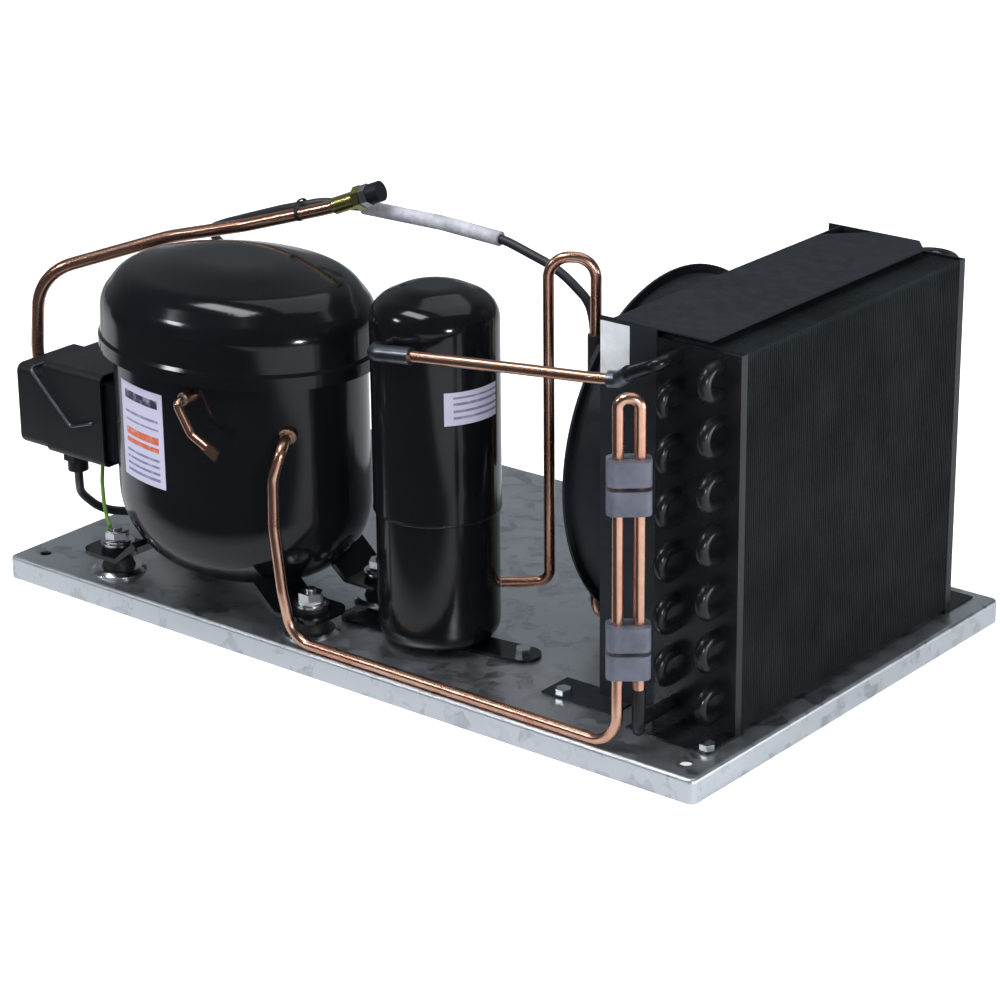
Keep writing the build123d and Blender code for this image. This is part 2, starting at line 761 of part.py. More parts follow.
VALVE_START = (-114, -40.3, TOP + 280.6)
VALVE_DIRECTION = Vector(10, 2.2, 4.2).normalized()
suction_route = [
    (-207, -52, TOP + 130),
    (-214, -36, TOP + 124),
    (-240, -22, TOP + 112),
    (-306, -30, TOP + 106),
    (-351, -66, TOP + 106),
    (-351, -126, TOP + 112),
    (-351, -128, TOP + 147),
    (-341, -131, TOP + 209),
    (-250, -79, TOP + 242),
    (-190, -57, TOP + 256.5),
    (-124, -42.5, TOP + 277),
    VALVE_START,
]
suction_line = tube(suction_route, SUCTION_RADIUS, 70)
check_tube("suction_line", suction_line, SUCTION_RADIUS, suction_route, 70)
finish(suction_line, "suction_line")

# ---- suction service valve -----------------------------------------------------------------------



def along_valve(distance):
    """The plane square to the valve's axis, that far from its brazed end."""
    return Plane(origin=Vector(VALVE_START) + VALVE_DIRECTION * distance, z_dir=VALVE_DIRECTION)


with BuildPart() as valve_body:
    with BuildSketch(along_valve(0)):
        Circle(6.5)
    extrude(amount=19)
    with BuildSketch(along_valve(19)):
        RegularPolygon(8, 6, major_radius=False)
    extrude(amount=6)
    with BuildSketch(along_valve(25)):
        Circle(5.5)
    extrude(amount=11)
finish(valve_body.part, "service_valve_body")

with BuildPart() as valve_nut:
    with BuildSketch(along_valve(25.5)):
        RegularPolygon(7.5, 6, major_radius=False)
        Circle(5.55, mode=Mode.SUBTRACT)
    extrude(amount=6)
finish(valve_nut.part, "service_valve_nut")

with BuildPart() as valve_cap:
    with BuildSketch(along_valve(32)):
        Circle(7.8)
        Circle(5.55, mode=Mode.SUBTRACT)
    extrude(amount=4.1)
    with BuildSketch(along_valve(36.1)):
        Circle(7.8)
    extrude(amount=5.4)
finish(valve_cap.part, "service_valve_cap")

# ---- condenser coil ------------------------------------------------------------------------------

CORE_WIDTH = CORE_BACK - CORE_FRONT
levels = [COIL_IN_Z + step * LEVEL_PITCH for step in range(LEVELS)]
fin_pitch = (CORE_WIDTH - 16) / (FIN_COUNT - 1)

with BuildPart() as condenser_fins:
    for step in range(FIN_COUNT):
        with BuildSketch(Plane.XZ.offset(-(CORE_FRONT + 7.7 + step * fin_pitch))):
            with Locations((FACE_X - CORE_DEPTH / 2, CORE_BOTTOM + CORE_HEIGHT / 2)):
                Rectangle(CORE_DEPTH, CORE_HEIGHT)
        extrude(amount=-FIN_THICKNESS)
finish(condenser_fins.part, "condenser_fins")

with BuildPart() as condenser_tubes:
    with BuildSketch(Plane.XZ.offset(-(CORE_FRONT - 1.5))):
        with Locations(*[(row, level) for row in (INNER_ROW, OUTER_ROW) for level in levels]):
            Circle(COIL_RADIUS)
    extrude(amount=-(CORE_WIDTH + 3))
finish(condenser_tubes.part, "condenser_tubes")


def return_bend(start, end, side):
    """A U of tube that joins two tubes where they leave an end plate. side is -1 at the front."""
    plate = CORE_FRONT - 1.5 if side < 0 else CORE_BACK + 1.5
    half = (Vector(end[0], 0, end[1]) - Vector(start[0], 0, start[1])).length / 2
    out = plate + side * (BEND_REACH + half)
    route = [
        (start[0], plate, start[1]),
        (start[0], out, start[1]),
        (end[0], out, end[1]),
        (end[0], plate, end[1]),
    ]
    with BuildPart() as bend:
        with BuildLine() as path:
            FilletPolyline(*route, radius=half * 0.99)
        with BuildSketch(Plane(origin=path.line @ 0, z_dir=path.line % 0)):
            Circle(COIL_RADIUS)
        sweep(path=path.line)
    return bend.part


outer_pairs = [(step, step + 1) for step in range(0, LEVELS, 2)]
inner_pairs = [(step, step + 1) for step in range(1, LEVELS - 1, 2)]
with BuildPart() as return_bends:
    for row, pairs in ((OUTER_ROW, outer_pairs), (INNER_ROW, inner_pairs)):
        for low, high in pairs:
            add(return_bend((row, levels[low]), (row, levels[high]), -1))
finish(return_bends.part, "return_bends")

with BuildPart() as crossover_bends:
    for level in levels:
        add(return_bend((INNER_ROW, level), (OUTER_ROW, level), 1))
finish(crossover_bends.part, "crossover_bends")


def end_plate(side):
    """A flanged plate that carries the tube ends, with a foot on the base."""
    face = CORE_FRONT if side < 0 else CORE_BACK
    height = CORE_HEIGHT + 4
    with BuildPart() as plate:
        with BuildSketch(Plane.XZ.offset(-face)):
            with Locations((FACE_X - CORE_DEPTH / 2, TOP + height / 2)):
                Rectangle(CORE_DEPTH, height)
            with Locations(*[(row, level) for row in (INNER_ROW, OUTER_ROW) for level in levels]):
                Circle(COIL_RADIUS + 0.1, mode=Mode.SUBTRACT)
        extrude(amount=side * 1.5)
        with BuildSketch(Plane.XY.offset(TOP)):
            with Locations((FACE_X - CORE_DEPTH / 2, face + side * 15.5)):
                Rectangle(CORE_DEPTH, 34)
        extrude(amount=1.5)
        for edge in (FACE_X - 0.75, FACE_X - CORE_DEPTH + 0.75):
            with BuildSketch(Plane.XY.offset(TOP)):
                with Locations((edge, face - side * 3.5)):
                    Rectangle(1.5, 7)
            extrude(amount=height)
        if side < 0:
            with BuildSketch(Plane.XY.offset(TOP)):
                with Locations(*BOLT_SPOTS[:2]):
                    Circle(3.1)
            extrude(amount=1.5, mode=Mode.SUBTRACT)
    return plate.part


finish(end_plate(-1), "end_plate_front")
finish(end_plate(1), "end_plate_rear")

# ---- fan shroud, fan and motor -------------------------------------------------------------------

SIDE_FRONT = CORE_FRONT
SIDE_BACK = CORE_BACK
MIDDLE_Y = (SIDE_FRONT + SIDE_BACK) / 2
SHROUD_SHEET = 1.2
WALL_X = SHROUD_X - 10  # the side walls reach past the panel
CORE_X = FACE_X - CORE_DEPTH

with BuildPart() as fan_shroud:
    with BuildSketch(Plane.YZ.offset(SHROUD_X)):
        with Locations((MIDDLE_Y, (TOP + SHROUD_TOP) / 2)):
            Rectangle(SIDE_BACK - SIDE_FRONT, SHROUD_TOP - TOP)
        with Locations((FAN_Y, FAN_Z)):
            Circle(RING_RADIUS - 3.2, mode=Mode.SUBTRACT)
    extrude(amount=SHROUD_SHEET)
    for side in (SIDE_FRONT + SHROUD_SHEET / 2, SIDE_BACK - SHROUD_SHEET / 2):
        with BuildSketch(Plane.XY.offset(TOP)):
            with Locations(((WALL_X + CORE_X) / 2, side)):
                Rectangle(CORE_X - WALL_X, SHROUD_SHEET)
        extrude(amount=SHROUD_TOP - TOP)
    with BuildSketch(Plane.XY.offset(SHROUD_TOP - SHROUD_SHEET)):
        with BuildLine():
            Polyline(
                (SHROUD_X, SIDE_FRONT),
                (SHROUD_X, 122),
                (SHROUD_X + 21, 142),
                (SHROUD_X + 29, SIDE_BACK),
                (FACE_X - 38, SIDE_BACK),
                (FACE_X - 24, 134),
                (FACE_X - 24, SIDE_FRONT),
                close=True,
            )
        make_face()
    extrude(amount=SHROUD_SHEET)
    with BuildSketch(Plane.XY.offset(TOP)):
        with Locations((SHROUD_X - 14, SIDE_FRONT - 6)):
            Rectangle(62, 30)
    extrude(amount=1.5)
    with BuildSketch(Plane.XY.offset(TOP)):
        with Locations(BOLT_SPOTS[2]):
            Circle(3.1)
    extrude(amount=1.5, mode=Mode.SUBTRACT)
finish(fan_shroud.part, "fan_shroud")

with BuildPart() as fan_ring:
    with BuildSketch(Plane.YZ.offset(RING_X)):
        with Locations((FAN_Y, FAN_Z)):
            Circle(RING_RADIUS - 2)
            Circle(RING_RADIUS - 3.2, mode=Mode.SUBTRACT)
    extrude(amount=SHROUD_X - RING_X)
    with BuildSketch(Plane.YZ.offset(RING_X)):
        with Locations((FAN_Y, FAN_Z)):
            Circle(RING_RADIUS + 4)
            Circle(RING_RADIUS - 3.2, mode=Mode.SUBTRACT)
    extrude(amount=2)
finish(fan_ring.part, "fan_ring")

with BuildPart() as fan_motor:
    with BuildSketch(Plane.YZ.offset(MOTOR_X)):
        with Locations((FAN_Y, FAN_Z)):
            Circle(MOTOR_RADIUS)
    extrude(amount=MOTOR_LENGTH)
    fillet(fan_motor.edges().group_by(Axis.X)[0], 8)
    fillet(fan_motor.edges().group_by(Axis.X)[-1], 5)
    with BuildSketch(Plane.YZ.offset(MOTOR_X + MOTOR_LENGTH)):
        with Locations((FAN_Y, FAN_Z)):
            Circle(13)
    extrude(amount=6)
    with BuildSketch(Plane.YZ.offset(MOTOR_X + MOTOR_LENGTH - 20)):
        with Locations((FAN_Y, FAN_Z)):
            Circle(4.05)
    extrude(amount=30, mode=Mode.SUBTRACT)
finish(fan_motor.part, "fan_motor")

with BuildPart() as motor_shaft:
    with BuildSketch(Plane.YZ.offset(MOTOR_X + MOTOR_LENGTH - 18)):
        with Locations((FAN_Y, FAN_Z)):
            Circle(4)
    extrude(amount=66)
finish(motor_shaft.part, "motor_shaft")

BLADE_PLANE = 177.5
with BuildPart() as fan_hub:
    with BuildSketch(Plane.YZ.offset(BLADE_PLANE - 8)):
        with Locations((FAN_Y, FAN_Z)):
            Circle(24)
            Circle(4, mode=Mode.SUBTRACT)
    extrude(amount=16)
finish(fan_hub.part, "fan_hub")

with BuildPart() as one_blade:
    with BuildSketch(Plane.XY.offset(20)):
        with Locations(Location((0, 0, 0), (0, 0, 40))):
            Rectangle(1.6, 34)
    with BuildSketch(Plane.XY.offset(62)):
        with Locations(Location((0, 0, 0), (0, 0, 32))):
            Rectangle(1.6, 62)
    with BuildSketch(Plane.XY.offset(BLADE_RADIUS - 3)):
        with Locations(Location((0, 0, 0), (0, 0, 25))):
            Rectangle(1.6, 70)
    loft()
with BuildPart() as fan_blades:
    for step in range(BLADE_COUNT):
        turned = one_blade.part.rotate(Axis.X, step * 360 / BLADE_COUNT)
        add(turned.moved(Location((BLADE_PLANE, FAN_Y, FAN_Z))))
finish(fan_blades.part, "fan_blades")

POST_RADIUS = MOTOR_RADIUS - 12.5
ARM_SHEET = 2.5
with BuildPart() as motor_bracket:
    with BuildSketch(Plane.YZ.offset(RING_X - ARM_SHEET)):
        with Locations((FAN_Y, FAN_Z)):
            Circle(MOTOR_RADIUS - 5)
            with PolarLocations((RING_RADIUS + POST_RADIUS) / 2, 4, 45):
                Rectangle(RING_RADIUS - POST_RADIUS + 6, 14)
            Circle(MOTOR_RADIUS - 20, mode=Mode.SUBTRACT)
    extrude(amount=ARM_SHEET)
    with BuildSketch(Plane.YZ.offset(MOTOR_X + MOTOR_LENGTH)):
        with Locations((FAN_Y, FAN_Z)):
            with PolarLocations(POST_RADIUS, 4, 45):
                Circle(4)
    extrude(amount=RING_X - ARM_SHEET - MOTOR_X - MOTOR_LENGTH)
finish(motor_bracket.part, "motor_bracket")

# ---- fan lead ------------------------------------------------------------------------------------

LEAD_RADIUS = 3.4
SLEEVE_BEND = (-30, -18.5, TOP + 277)
lead_route = [
    (-297, -143, BOX_BOTTOM - 16),
    (-299, -141, BOX_BOTTOM - 28),
    (-309, -131, TOP + 36),
    (-307, -111, TOP + 16),
    (-277, -75, TOP + 9),
    (-230, -37, TOP + 9),
    (-187, -24, TOP + 22),
    (-175, -23, TOP + 80),
    (-179, -27, TOP + 147),
    (-212, -32, TOP + 210),
    (-250, -38, TOP + 238.5),
    (-226, -40, TOP + 248.5),
    (-195, -41, TOP + 259.5),
    (-168, -41.5, TOP + 269),
    (-148, -40, TOP + 275),
    (-132, -31, TOP + 279),
    (-116, -24, TOP + 276.5),
    (-106, -22, TOP + 277.4),
    SLEEVE_BEND,
    (26, -15, TOP + 273),
    (74, -13, TOP + 259),
    (100, -12, TOP + 240),
    (103, -10, TOP + 222),
    (101, -8, TOP + 190),
    (111, 2, FAN_Z + 39.2),
]
fan_lead = tube(lead_route, LEAD_RADIUS, 80)
check_tube("fan_lead", fan_lead, LEAD_RADIUS, lead_route, 80)
finish(fan_lead, "fan_lead")

sleeve_route = [(-102, -21.8, TOP + 277.38), SLEEVE_BEND, (22, -15.25, TOP + 273.29)]
with BuildPart() as lead_sleeve:
    add(tube(sleeve_route, 5.5, 80))
    add(tube(sleeve_route, LEAD_RADIUS + 0.05, 80), mode=Mode.SUBTRACT)
finish(lead_sleeve.part, "lead_sleeve")

# ---- fasteners -----------------------------------------------------------------------------------


def hex_bolt(level, spots):
    """Hex-head bolts that pass down through the base."""
    with BuildPart() as bolts:
        with BuildSketch(Plane.XY.offset(level)):
            with Locations(*spots):
                RegularPolygon(5, 6, major_radius=False)
        extrude(amount=4.5)
        with BuildSketch(Plane.XY.offset(TOP - SHEET - 5)):
            with Locations(*spots):
                Circle(3)
        extrude(amount=level - TOP + SHEET + 5)
    return bolts.part


with BuildPart() as frame_bolts:
    add(hex_bolt(TOP + 1.5, BOLT_SPOTS))
    add(hex_bolt(TOP + 2.5, STRAP_BOLTS))
finish(frame_bolts.part, "frame_bolts")
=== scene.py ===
"""The looks of a refrigeration condensing unit: enamel, galvanised sheet, copper and a dense fin pack.

Metres, in the frame of the solids: +X from the compressor to the condenser, +Z up.
"""

import json
import math
import random

import bpy
from mathutils import Matrix, Vector


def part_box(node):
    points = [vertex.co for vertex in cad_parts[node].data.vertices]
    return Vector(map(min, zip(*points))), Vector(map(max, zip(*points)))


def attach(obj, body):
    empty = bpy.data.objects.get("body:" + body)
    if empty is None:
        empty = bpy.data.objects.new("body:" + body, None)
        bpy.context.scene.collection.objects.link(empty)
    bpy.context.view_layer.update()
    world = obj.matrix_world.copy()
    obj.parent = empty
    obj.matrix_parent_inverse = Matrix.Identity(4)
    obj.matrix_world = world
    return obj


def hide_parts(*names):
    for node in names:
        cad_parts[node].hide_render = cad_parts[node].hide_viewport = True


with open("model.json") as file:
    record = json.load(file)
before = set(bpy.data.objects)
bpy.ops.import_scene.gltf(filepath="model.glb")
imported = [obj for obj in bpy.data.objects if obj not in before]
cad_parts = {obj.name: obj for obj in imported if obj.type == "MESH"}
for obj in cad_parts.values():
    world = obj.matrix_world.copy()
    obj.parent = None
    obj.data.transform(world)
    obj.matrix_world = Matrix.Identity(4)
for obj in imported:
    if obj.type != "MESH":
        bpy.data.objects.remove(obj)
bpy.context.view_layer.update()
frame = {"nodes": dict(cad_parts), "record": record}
nodes = frame["nodes"]
scene = bpy.context.scene
scene.view_settings.view_transform = "Standard"
MM = 0.001

# ---- camera ----------------------------------------------------------------------------------

CAMERA_PLACE = (1.4166, -1.7391, 0.9426)
CAMERA_TURN = (68.96, 0.556, 38.82)  # degrees about X, Y and Z
CAMERA_LENS = 115.1  # millimetres, on a sensor 36 wide
FAR_ENOUGH = 50


def add_camera():
    data = bpy.data.cameras.new("camera")
    data.lens = CAMERA_LENS
    data.sensor_width = 36
    data.clip_end = FAR_ENOUGH
    camera = bpy.data.objects.new("camera", data)
    camera.location = CAMERA_PLACE
    camera.rotation_euler = [math.radians(turn) for turn in CAMERA_TURN]
    scene.collection.objects.link(camera)
    scene.camera = camera


add_camera()

# ---- light and backdrop ----------------------------------------------------------------------

COOL = (0.93, 0.97, 1)
# Each softbox: its place, what it faces, its width and height, its watts and its tint.
SOFTBOXES = {
    "fill": ((0.3, 0.9, 3.2), (0, 0, 0), (3.0, 2.4), 20, COOL),
    "overhead": ((-0.35, -0.95, 2.1), (-0.05, -0.05, 0.1), (1.3, 0.55), 20, COOL),
    "front_left": ((-1.6, -2.2, 1.7), (0, 0, 0.12), (0.5, 0.3), 12, COOL),
    "front_right": ((1.85, -0.95, 0.55), (0.0, 0, 0.2), (0.26, 0.14), 9, (1, 1, 1)),
    "right_side": ((1.35, 0.35, 0.2), (0.3, 0.02, 0.15), (0.9, 0.36), 5, COOL),
}
BACKDROP = (-0.63, 0.77, 0.05)  # the way from the object to the bright wall behind it
FLOOR_SIZE = 12
FLOOR_WHITE = 0.86
FLOOR_DARK = 0.05
BESIDE_Y = (-0.34, -0.27)  # the mirrored floor turns from dark to white between these
RIGHT_X = (0.37, 0.42)


def softbox(name, place, target, size, watts, tint):
    """A rectangular lamp at place that faces target."""
    lamp = bpy.data.lights.new(name, "AREA")
    lamp.shape = "RECTANGLE"
    lamp.size, lamp.size_y = size
    lamp.energy = watts
    lamp.color = tint
    holder = bpy.data.objects.new(name, lamp)
    holder.location = place
    facing = Vector(target) - Vector(place)
    holder.rotation_euler = facing.to_track_quat("-Z", "Y").to_euler()
    scene.collection.objects.link(holder)


def node(tree, kind, **settings):
    """A new shader node with its settings. Inputs are given by name in a dict called inputs."""
    inputs = settings.pop("inputs", {})
    made = tree.nodes.new(kind)
    for key, value in settings.items():
        setattr(made, key, value)
    for key, value in inputs.items():
        made.inputs[key].default_value = value
    return made


def join(tree, *links):
    """Links given as (from node, its output, to node, its input)."""
    for giver, output, taker, entry in links:
        tree.links.new(giver.outputs[output], taker.inputs[entry])


def between(start, end):
    """The inputs of a map that goes from 0 at start to 1 at end."""
    return {"From Min": start, "From Max": end}


def studio_world():
    """White for the eye. Reflections see it bright behind the object and dark elsewhere, and
    diffuse faces take a dim even light from it."""
    world = bpy.data.worlds.new("studio")
    world.use_nodes = True
    tree = world.node_tree
    tree.nodes.clear()
    path = node(tree, "ShaderNodeLightPath")
    where = node(tree, "ShaderNodeTexCoord")
    facing = node(tree, "ShaderNodeVectorMath", operation="DOT_PRODUCT")
    facing.inputs[1].default_value = BACKDROP
    wall = node(
        tree,
        "ShaderNodeMapRange",
        interpolation_type="SMOOTHSTEP",
        inputs={"From Min": 0.35, "From Max": 0.9, "To Min": 0.045, "To Max": 0.2},
    )
    dim = node(tree, "ShaderNodeBackground", inputs={"Strength": 0.5})
    dim.inputs["Color"].default_value = (0.90, 0.95, 1, 1)
    mirrored = node(tree, "ShaderNodeBackground", inputs={"Color": (0.86, 0.94, 1, 1)})
    white = node(tree, "ShaderNodeBackground", inputs={"Color": (1, 1, 1, 1)})
    for_gloss = node(tree, "ShaderNodeMixShader")
    for_camera = node(tree, "ShaderNodeMixShader")
    out = node(tree, "ShaderNodeOutputWorld")
    join(
        tree,
        (where, "Generated", facing, 0),
        (facing, "Value", wall, 0),
        (wall, 0, mirrored, "Strength"),
        (path, "Is Glossy Ray", for_gloss, 0),
        (dim, 0, for_gloss, 1),
        (mirrored, 0, for_gloss, 2),
        (path, "Is Camera Ray", for_camera, 0),
        (for_gloss, 0, for_camera, 1),
        (white, 0, for_camera, 2),
        (for_camera, 0, out, "Surface"),
    )
    scene.world = world


def floor_material():
    """White for the eye. Reflections see it white beside the object and dark in front of it."""
    material = bpy.data.materials.new("white_floor")
    material.use_nodes = True
    tree = material.node_tree
    tree.nodes.clear()
    path = node(tree, "ShaderNodeLightPath")
    matt = node(tree, "ShaderNodeBsdfDiffuse", inputs={"Color": (*[FLOOR_WHITE] * 3, 1)})
    glow = node(tree, "ShaderNodeEmission", inputs={"Strength": 0.78})
    where = node(tree, "ShaderNodeTexCoord")
    split = node(tree, "ShaderNodeSeparateXYZ")
    beside = node(tree, "ShaderNodeMapRange", inputs=between(*BESIDE_Y))
    right = node(tree, "ShaderNodeMapRange", inputs=between(*RIGHT_X))
    either = node(tree, "ShaderNodeMath", operation="MAXIMUM")
    shade = node(
        tree, "ShaderNodeMapRange", inputs={"To Min": FLOOR_DARK, "To Max": FLOOR_WHITE}
    )
    mirrored = node(tree, "ShaderNodeBsdfDiffuse")
    seen = node(tree, "ShaderNodeMixShader")
    lifted = node(tree, "ShaderNodeAddShader")
    blend = node(tree, "ShaderNodeMixShader")
    out = node(tree, "ShaderNodeOutputMaterial")
    join(
        tree,
        (matt, 0, lifted, 0),
        (glow, 0, lifted, 1),
        (where, "Object", split, 0),
        (split, "Y", beside, 0),
        (split, "X", right, 0),
        (beside, 0, either, 0),
        (right, 0, either, 1),
        (either, 0, shade, 0),
        (shade, 0, mirrored, "Color"),
        (path, "Is Glossy Ray", seen, 0),
        (matt, 0, seen, 1),
        (mirrored, 0, seen, 2),
        (path, "Is Camera Ray", blend, 0),
        (seen, 0, blend, 1),
        (lifted, 0, blend, 2),
        (blend, 0, out, "Surface"),
    )
    return material


def deselect():
    if bpy.context.object and bpy.context.object.mode != "OBJECT":
        bpy.ops.object.mode_set(mode="OBJECT")
    bpy.ops.object.select_all(action="DESELECT")


def add_floor():
    """A plane just under the flanges that the base stands on."""
    deselect()
    bpy.ops.mesh.primitive_plane_add(size=FLOOR_SIZE, location=(0, 0, -0.2 * MM))
    floor = bpy.context.object
    floor.name = "floor"
    floor.data.materials.append(floor_material())


for lamp_name, settings in SOFTBOXES.items():
    softbox(lamp_name, *settings)
studio_world()
add_floor()

# ---- shader groups -------------------------------------------------------------------------


def shader_group(name, inputs, outputs):
    """An empty node group with named sockets, and its input and output nodes."""
    tree = bpy.data.node_groups.new(name, "ShaderNodeTree")
    for label, kind, value in inputs:
        socket = tree.interface.new_socket(label, in_out="INPUT", socket_type=kind)
        if value is not None:
            socket.default_value = value
    for label, kind in outputs:
        tree.interface.new_socket(label, in_out="OUTPUT", socket_type=kind)
    return tree, tree.nodes.new("NodeGroupInput"), tree.nodes.new("NodeGroupOutput")


FLOAT, VECTOR, COLOR = "NodeSocketFloat", "NodeSocketVector", "NodeSocketColor"


def make_handling_group():
    """Large faint patches, fine grain and short scuffs."""
    tree, given, out = shader_group(
        "handling_marks",
        [("Vector", VECTOR, None), ("Patch Scale", FLOAT, 12), ("Grain Scale", FLOAT, 400)],
        [("Patches", FLOAT), ("Grain", FLOAT), ("Scuffs", FLOAT)],
    )
    patches = node(tree, "ShaderNodeTexNoise", inputs={"Detail": 5, "Roughness": 0.6})
    grain = node(tree, "ShaderNodeTexNoise", inputs={"Detail": 3})
    stretch = node(tree, "ShaderNodeMapping", inputs={"Scale": (40, 260, 120)})
    scuffs = node(tree, "ShaderNodeTexNoise", inputs={"Scale": 1, "Detail": 4, "Roughness": 0.7})
    sharp = node(tree, "ShaderNodeMapRange", inputs=between(0.62, 0.74))
    join(
        tree,
        (given, "Vector", patches, "Vector"),
        (given, "Patch Scale", patches, "Scale"),
        (given, "Vector", grain, "Vector"),
        (given, "Grain Scale", grain, "Scale"),
        (given, "Vector", stretch, "Vector"),
        (stretch, 0, scuffs, "Vector"),
        (scuffs, 0, sharp, 0),
        (patches, 0, out, "Patches"),
        (grain, 0, out, "Grain"),
        (sharp, 0, out, "Scuffs"),
    )
    return tree


def make_dust_group():
    """Dust that settles on faces that look up, thinned by noise."""
    tree, given, out = shader_group(
        "settled_dust",
        [("Vector", VECTOR, None), ("Normal", VECTOR, None), ("Amount", FLOAT, 0.3)],
        [("Dust", FLOAT)],
    )
    split = node(tree, "ShaderNodeSeparateXYZ")
    up = node(tree, "ShaderNodeMapRange", inputs=between(0.35, 1.0))
    specks = node(tree, "ShaderNodeTexNoise", inputs={"Scale": 95, "Detail": 8, "Roughness": 0.75})
    clumps = node(tree, "ShaderNodeMapRange", inputs=between(0.42, 0.7))
    both = node(tree, "ShaderNodeMath", operation="MULTIPLY")
    thin = node(tree, "ShaderNodeMath", operation="MULTIPLY")
    join(
        tree,
        (given, "Normal", split, 0),
        (split, "Z", up, 0),
        (given, "Vector", specks, "Vector"),
        (specks, 0, clumps, 0),
        (up, 0, both, 0),
        (clumps, 0, both, 1),
        (both, 0, thin, 0),
        (given, "Amount", thin, 1),
        (thin, 0, out, "Dust"),
    )
    return tree


def make_spangle_group():
    """The crystal flowers of hot-dip galvanising: a grey for each cell and a low ridge between."""
    tree, given, out = shader_group(
        "zinc_spangle",
        [("Vector", VECTOR, None), ("Scale", FLOAT, 90), ("Spread", FLOAT, 0.5)],
        [("Tone", FLOAT), ("Ridge", FLOAT)],
    )
    bend = node(tree, "ShaderNodeTexNoise", inputs={"Scale": 60, "Detail": 2})
    warp = node(tree, "ShaderNodeVectorMath", operation="MULTIPLY_ADD")
    warp.inputs[1].default_value = (0.012, 0.012, 0.012)
    cells = node(tree, "ShaderNodeTexVoronoi", inputs={"Randomness": 1.0})
    edges = node(tree, "ShaderNodeTexVoronoi", feature="DISTANCE_TO_EDGE")
    split = node(tree, "ShaderNodeSeparateColor")
    centred = node(tree, "ShaderNodeMath", operation="MULTIPLY_ADD", inputs={2: 0.5})
    less = node(tree, "ShaderNodeMath", operation="SUBTRACT", inputs={1: 0.5})
    join(
        tree,
        (given, "Vector", bend, "Vector"),
        (bend, "Color", warp, 0),
        (given, "Vector", warp, 2),
        (warp, 0, cells, "Vector"),
        (warp, 0, edges, "Vector"),
        (given, "Scale", cells, "Scale"),
        (given, "Scale", edges, "Scale"),
        (cells, "Color", split, 0),
        (split, 0, less, 0),
        (less, 0, centred, 0),
        (given, "Spread", centred, 1),
        (centred, 0, out, "Tone"),
        (edges, "Distance", out, "Ridge"),
    )
    return tree


handling = make_handling_group()
dust = make_dust_group()
spangle = make_spangle_group()

# ---- materials --------------------------------------------------------------------------------


def place_group(tree, group, **inputs):
    """A group in a material's tree. An underscore in an input's name stands for a space."""
    made = tree.nodes.new("ShaderNodeGroup")
    made.node_tree = group
    for key, value in inputs.items():
        made.inputs[key.replace("_", " ")].default_value = value
    return made


def finish_of(
    name,
    color,
    patch_color,
    rough,
    metallic=0.0,
    spread=0.08,
    patch_scale=12,
    grain_scale=400,
    grain_height=0.00002,
    dust_amount=0.12,
    dust_color=(0.42, 0.41, 0.39),
    scuff_color=None,
    coat=0.0,
    specular=0.5,
):
    """A surface with patches of two colours, grain in its bump, scuffs and settled dust."""
    material = bpy.data.materials.new(name)
    material.use_nodes = True
    tree = material.node_tree
    shader = tree.nodes["Principled BSDF"]
    shader.inputs["Metallic"].default_value = metallic
    shader.inputs["Specular IOR Level"].default_value = specular
    shader.inputs["Coat Weight"].default_value = coat
    shader.inputs["Coat Roughness"].default_value = 0.06
    where = node(tree, "ShaderNodeTexCoord")
    marks = place_group(tree, handling, Patch_Scale=patch_scale, Grain_Scale=grain_scale)
    settled = place_group(tree, dust, Amount=dust_amount)
    two = node(tree, "ShaderNodeMix", data_type="RGBA")
    two.inputs[6].default_value = (*color, 1)
    two.inputs[7].default_value = (*patch_color, 1)
    contrast = node(tree, "ShaderNodeMapRange", inputs=between(0.35, 0.65))
    scuffed = node(tree, "ShaderNodeMix", data_type="RGBA")
    scuffed.inputs[7].default_value = (*(scuff_color or patch_color), 1)
    dusty = node(tree, "ShaderNodeMix", data_type="RGBA")
    dusty.inputs[7].default_value = (*dust_color, 1)
    gloss = node(tree, "ShaderNodeMapRange")
    gloss.inputs["To Min"].default_value = max(0.02, rough - spread)
    gloss.inputs["To Max"].default_value = rough + spread
    dull = node(tree, "ShaderNodeMath", operation="MULTIPLY_ADD", use_clamp=True, inputs={1: 0.6})
    bump = node(tree, "ShaderNodeBump", inputs={"Distance": grain_height, "Strength": 1.0})
    join(
        tree,
        (where, "Object", marks, "Vector"),
        (where, "Object", settled, "Vector"),
        (where, "Normal", settled, "Normal"),
        (marks, "Patches", contrast, 0),
        (contrast, 0, two, 0),
        (two, 2, scuffed, 6),
        (marks, "Scuffs", scuffed, 0),
        (scuffed, 2, dusty, 6),
        (settled, "Dust", dusty, 0),
        (dusty, 2, shader, "Base Color"),
        (marks, "Patches", gloss, 0),
        (settled, "Dust", dull, 0),
        (gloss, 0, dull, 2),
        (dull, 0, shader, "Roughness"),
        (marks, "Grain", bump, "Height"),
        (bump, 0, shader, "Normal"),
    )
    return material


